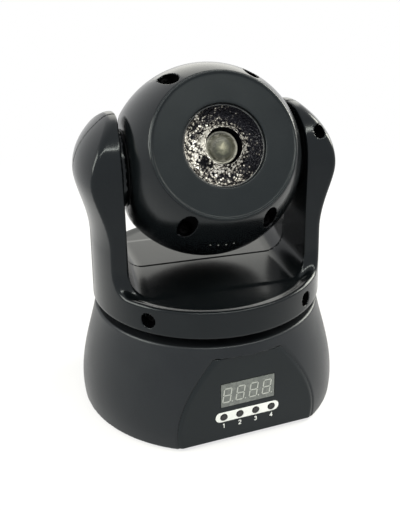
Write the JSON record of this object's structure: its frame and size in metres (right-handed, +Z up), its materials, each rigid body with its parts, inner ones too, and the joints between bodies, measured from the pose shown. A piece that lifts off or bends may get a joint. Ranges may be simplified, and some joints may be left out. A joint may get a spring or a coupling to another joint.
{
  "type": "led moving head",
  "caption": "Small moving head stage light: round base with display and four buttons, a turning yoke, and a tilting ball head with a deep round lens.",
  "frame": {"origin": "on the pan axis, in the plane that the feet stand on", "axes": "+Z up along the pan axis, -Y the way the display faces, +X to the right as seen by someone who faces the display"},
  "size_m": [0.1492, 0.1324, 0.196],
  "materials": {
    "shell": "satin charcoal moulded ABS",
    "panel": "satin charcoal moulded ABS, finer grain",
    "window": "grey smoked acrylic",
    "display": "grey seven-segment display block",
    "board": "green solder mask",
    "button": "black moulded caps",
    "rubber": "black rubber",
    "sheet_steel": "zinc plated sheet steel",
    "panel_steel": "black powder coated steel",
    "inner_plastic": "black moulded plastic",
    "plated": "nickel plated die casting",
    "bearing_steel": "ground steel",
    "aluminium": "turned aluminium",
    "lens": "clear polished acrylic"
  },
  "bodies": {
    "base": {"base_housing": "shell", "front_panel": "panel", "display_window": "window", "display_module": "display", "control_board": "board", "base_plate": "sheet_steel", "foot_1": "rubber", "foot_2": "rubber", "foot_3": "rubber", "foot_4": "rubber", "main_board": "board", "power_supply": "board", "rear_panel": "panel_steel", "power_inlet": "inner_plastic", "dmx_input": "plated", "dmx_output": "plated", "fuse_holder": "inner_plastic", "pan_bearing": "bearing_steel", "pan_motor": "sheet_steel", "pan_motor_bracket": "sheet_steel", "pan_belt": "rubber"},
    "yoke": {"yoke_front_shell": "shell", "yoke_rear_shell": "shell", "yoke_frame": "sheet_steel", "pan_shaft": "aluminium", "pan_pulley": "aluminium", "tilt_bearing_left": "bearing_steel", "tilt_bearing_right": "bearing_steel", "tilt_motor": "sheet_steel"},
    "head": {"head_front_shell": "shell", "head_rear_shell": "shell", "face_plate": "panel", "tir_lens": "lens", "lens_holder": "inner_plastic", "led_board": "aluminium", "heatsink": "aluminium", "head_cradle": "sheet_steel", "fan_frame": "inner_plastic", "tilt_axle_left": "aluminium", "tilt_axle_right": "aluminium", "tilt_gear": "bearing_steel"},
    "pan_motor_rotor": {"pan_motor_pulley": "aluminium", "pan_motor_shaft": "bearing_steel"},
    "tilt_pinion": {"tilt_pinion": "bearing_steel"},
    "fan_rotor": {"fan_rotor": "inner_plastic"},
    "button_1": {"button_1": "button"},
    "button_2": {"button_2": "button"},
    "button_3": {"button_3": "button"},
    "button_4": {"button_4": "button"}
  },
  "joints": [
    {"name": "pan", "type": "hinge", "parent": "base", "child": "yoke", "pos_m": [0, 0, 0.06], "axis": [0, 0, 1], "range_deg": [-264.4, 275.6]},
    {"name": "tilt", "type": "hinge", "parent": "yoke", "child": "head", "pos_m": [0, 0, 0.1404], "axis": [0.9952, -0.0976, 0], "range_deg": [-168, 42]},
    {"name": "pan_motor_spin", "type": "hinge", "parent": "base", "child": "pan_motor_rotor", "pos_m": [0.038, 0, 0.045], "axis": [0, 0, 1], "range_deg": [-1060, 1105]},
    {"name": "tilt_pinion_spin", "type": "hinge", "parent": "yoke", "child": "tilt_pinion", "pos_m": [-0.05175, 0.00507, 0.1184], "axis": [0.9952, -0.0976, 0], "range_deg": [-145, 575]},
    {"name": "fan_spin", "type": "hinge", "parent": "head", "child": "fan_rotor", "pos_m": [0.00102, 0.0104, 0.13514], "axis": [-0.0872, -0.8891, 0.4493], "continuous": true},
    {"name": "button_1_press", "type": "slide", "parent": "base", "child": "button_1", "axis": [0, 1, 0], "range_m": [0, 0.0004], "stiffness_N_per_m": 2500, "springref_m": -0.0002},
    {"name": "button_2_press", "type": "slide", "parent": "base", "child": "button_2", "axis": [0, 1, 0], "range_m": [0, 0.0004], "stiffness_N_per_m": 2500, "springref_m": -0.0002},
    {"name": "button_3_press", "type": "slide", "parent": "base", "child": "button_3", "axis": [0, 1, 0], "range_m": [0, 0.0004], "stiffness_N_per_m": 2500, "springref_m": -0.0002},
    {"name": "button_4_press", "type": "slide", "parent": "base", "child": "button_4", "axis": [0, 1, 0], "range_m": [0, 0.0004], "stiffness_N_per_m": 2500, "springref_m": -0.0002}
  ],
  "couplings": [
    {"joint": "pan_motor_spin", "follows": "pan", "ratio": 4},
    {"joint": "tilt_pinion_spin", "follows": "tilt", "ratio": -3.4}
  ]
}
